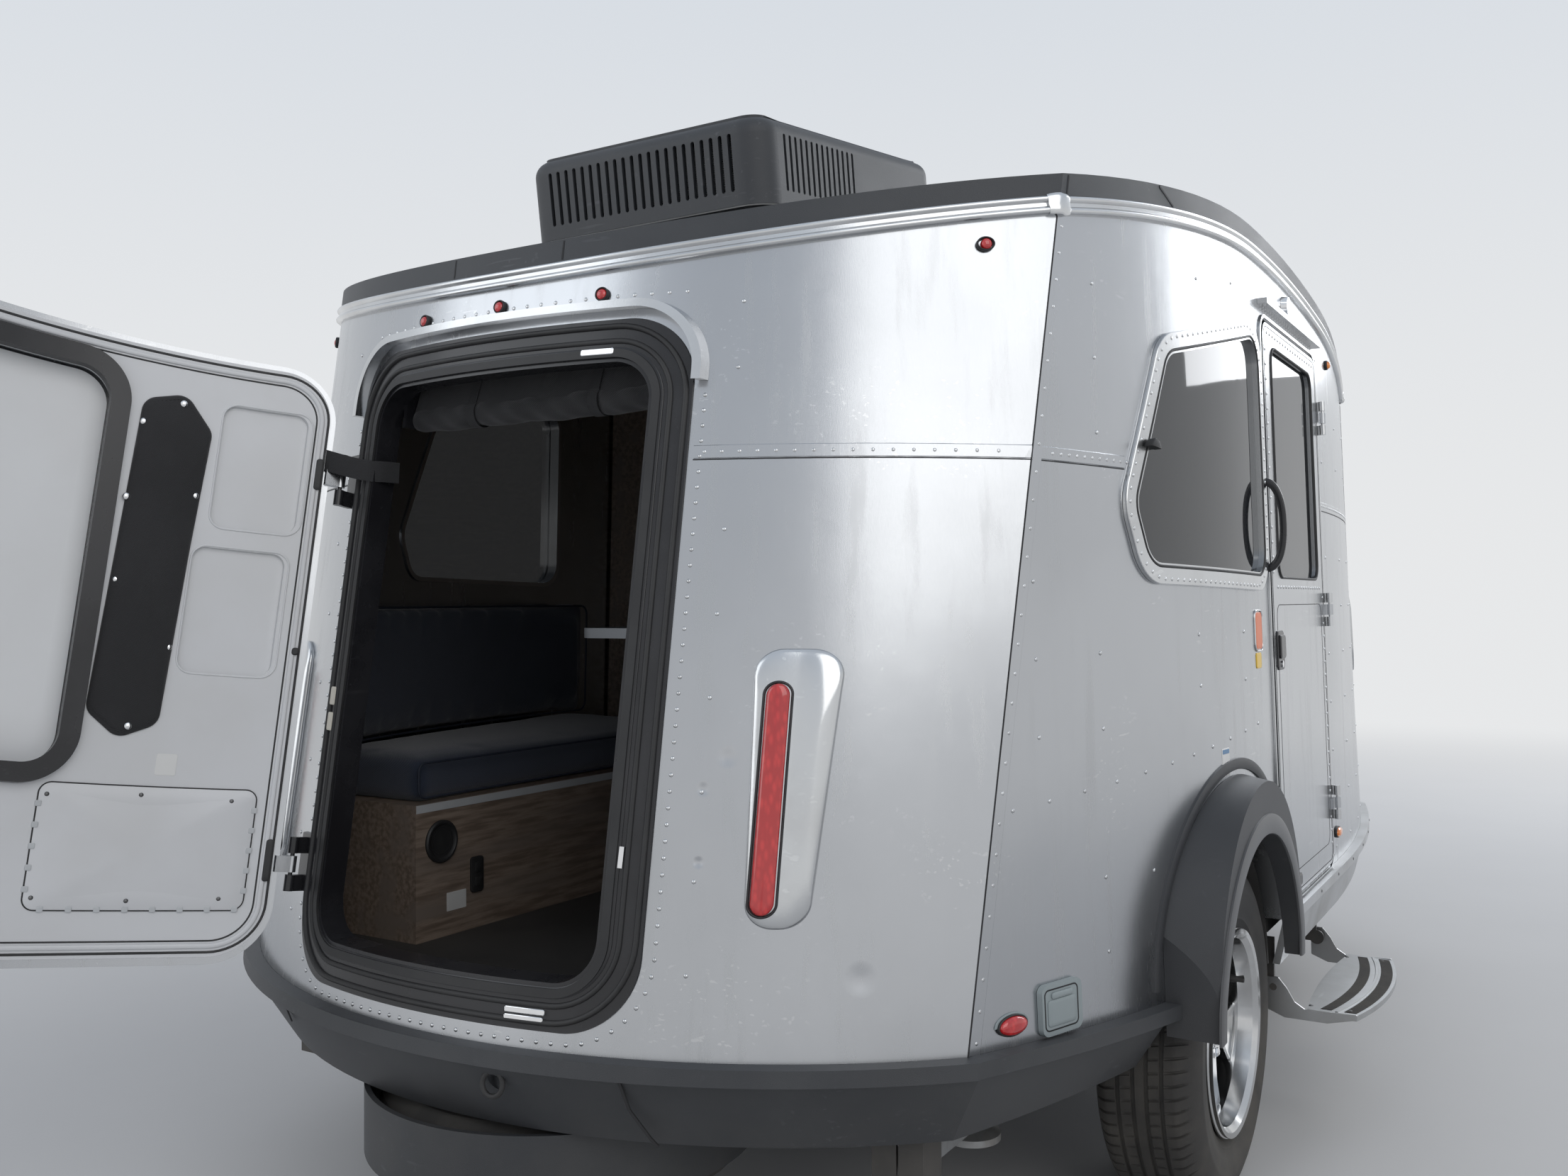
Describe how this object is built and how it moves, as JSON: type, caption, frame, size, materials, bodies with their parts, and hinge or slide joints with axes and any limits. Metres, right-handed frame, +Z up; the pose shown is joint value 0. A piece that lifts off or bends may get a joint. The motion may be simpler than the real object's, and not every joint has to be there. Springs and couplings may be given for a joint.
{
  "type": "travel caravan",
  "caption": "Compact riveted aluminium travel caravan with leaning tail, open rear hatch, curved dark roof fairing, roof air unit, flared wheels, fold step and tongue jack.",
  "frame": {"origin": "centre of the tongue jack's foot, on the ground", "axes": "+X forward towards the coupler, +Y to the left side, +Z up"},
  "size_m": [5.5915, 2.356, 2.2893],
  "materials": {
    "shell_aluminium": "satin",
    "roof_white": "satin",
    "fairing_black": "satin",
    "trim_bright": "gloss",
    "sill_silver": "satin",
    "chassis_black": "satin",
    "rubber_black": "matte",
    "tyre": "matte",
    "wheel_polished": "gloss",
    "glass_dark": "gloss",
    "frame_black": "gloss",
    "liner_white": "satin",
    "fabric_navy": "matte",
    "fabric_black": "matte",
    "wood_laminate": "satin",
    "table_grey": "satin",
    "floor_dark": "matte",
    "lens_red": "gloss",
    "chrome": "gloss",
    "pale_grey": "satin",
    "steel_galvanised": "satin",
    "locker_black": "satin"
  },
  "bodies": {
    "caravan": {"rear_wall_lower": "shell_aluminium", "rear_wall_upper": "shell_aluminium", "front_wall": "shell_aluminium", "side_wall_right": "shell_aluminium", "side_wall_left": "shell_aluminium", "roof_panel": "roof_white", "roof_fairing": "fairing_black", "roof_moulding": "trim_bright", "rear_bumper": "fairing_black", "body_sills": "sill_silver", "fenders": "fairing_black", "wheel_housings": "floor_dark", "floor": "floor_dark", "chassis_frame": "chassis_black", "coupler": "chassis_black", "tongue_jack_body": "chassis_black", "gas_locker": "locker_black", "axle": "chassis_black", "spare_tyre": "tyre", "spare_wheel": "steel_galvanised", "spare_shroud": "fairing_black", "roof_unit_cover": "fairing_black", "roof_unit_core": "fairing_black", "roof_vent": "pale_grey", "hatch_frame": "frame_black", "hatch_seal": "rubber_black", "drip_caps": "trim_bright", "rolled_screen": "fabric_black", "window_frames": "frame_black", "window_glass": "glass_dark", "entry_door_frame": "frame_black", "entry_grab_handle": "frame_black", "tail_light_bezels": "trim_bright", "lamp_lenses": "lens_red", "porch_light": "chrome", "power_inlet": "pale_grey", "cabin_furniture": "wood_laminate", "bench_cushions": "fabric_navy", "table": "table_grey"},
    "wheel_right": {"tyre_right": "tyre", "rim_right": "wheel_polished"},
    "wheel_left": {"tyre_left": "tyre", "rim_left": "wheel_polished"},
    "entry_door": {"entry_door": "shell_aluminium", "entry_door_glass": "glass_dark"},
    "hatch": {"hatch_door": "shell_aluminium", "hatch_liner": "liner_white", "hatch_window": "glass_dark", "hatch_window_frame": "frame_black", "hatch_cover": "fabric_black"},
    "step": {"step_tread": "sill_silver"},
    "jack_leg": {"tongue_jack_leg": "steel_galvanised"},
    "stabiliser_right": {"stabiliser_right": "steel_galvanised"},
    "stabiliser_left": {"stabiliser_left": "steel_galvanised"}
  },
  "joints": [
    {"name": "wheel_right_spin", "type": "hinge", "parent": "caravan", "child": "wheel_right", "pos_m": [-3.325, -0.945, 0.344], "axis": [0, 1, 0], "continuous": true},
    {"name": "wheel_left_spin", "type": "hinge", "parent": "caravan", "child": "wheel_left", "pos_m": [-3.325, 0.945, 0.344], "axis": [0, 1, 0], "continuous": true},
    {"name": "entry_door_hinge", "type": "hinge", "parent": "caravan", "child": "entry_door", "pos_m": [-2.347, -1.06655, 1.2], "axis": [0, 0.0297, 0.9996], "range_deg": [0, 100]},
    {"name": "hatch_hinge", "type": "hinge", "parent": "caravan", "child": "hatch", "pos_m": [-4.4862, 0.414, 0.74], "axis": [0.159, 0, 0.9873], "range_deg": [0, 110]},
    {"name": "step_hinge", "type": "hinge", "parent": "caravan", "child": "step", "pos_m": [-2.66, -1.036, 0.34], "axis": [1, 0, 0], "range_deg": [-75, 0]},
    {"name": "tongue_jack", "type": "slide", "parent": "caravan", "child": "jack_leg", "axis": [0, 0, 1], "range_m": [0, 0.28]},
    {"name": "stabiliser_right_hinge", "type": "hinge", "parent": "caravan", "child": "stabiliser_right", "pos_m": [-4.15, -0.705, 0.3], "axis": [0, 1, 0], "range_deg": [0, 60]},
    {"name": "stabiliser_left_hinge", "type": "hinge", "parent": "caravan", "child": "stabiliser_left", "pos_m": [-4.15, 0.705, 0.3], "axis": [0, 1, 0], "range_deg": [0, 60]}
  ]
}
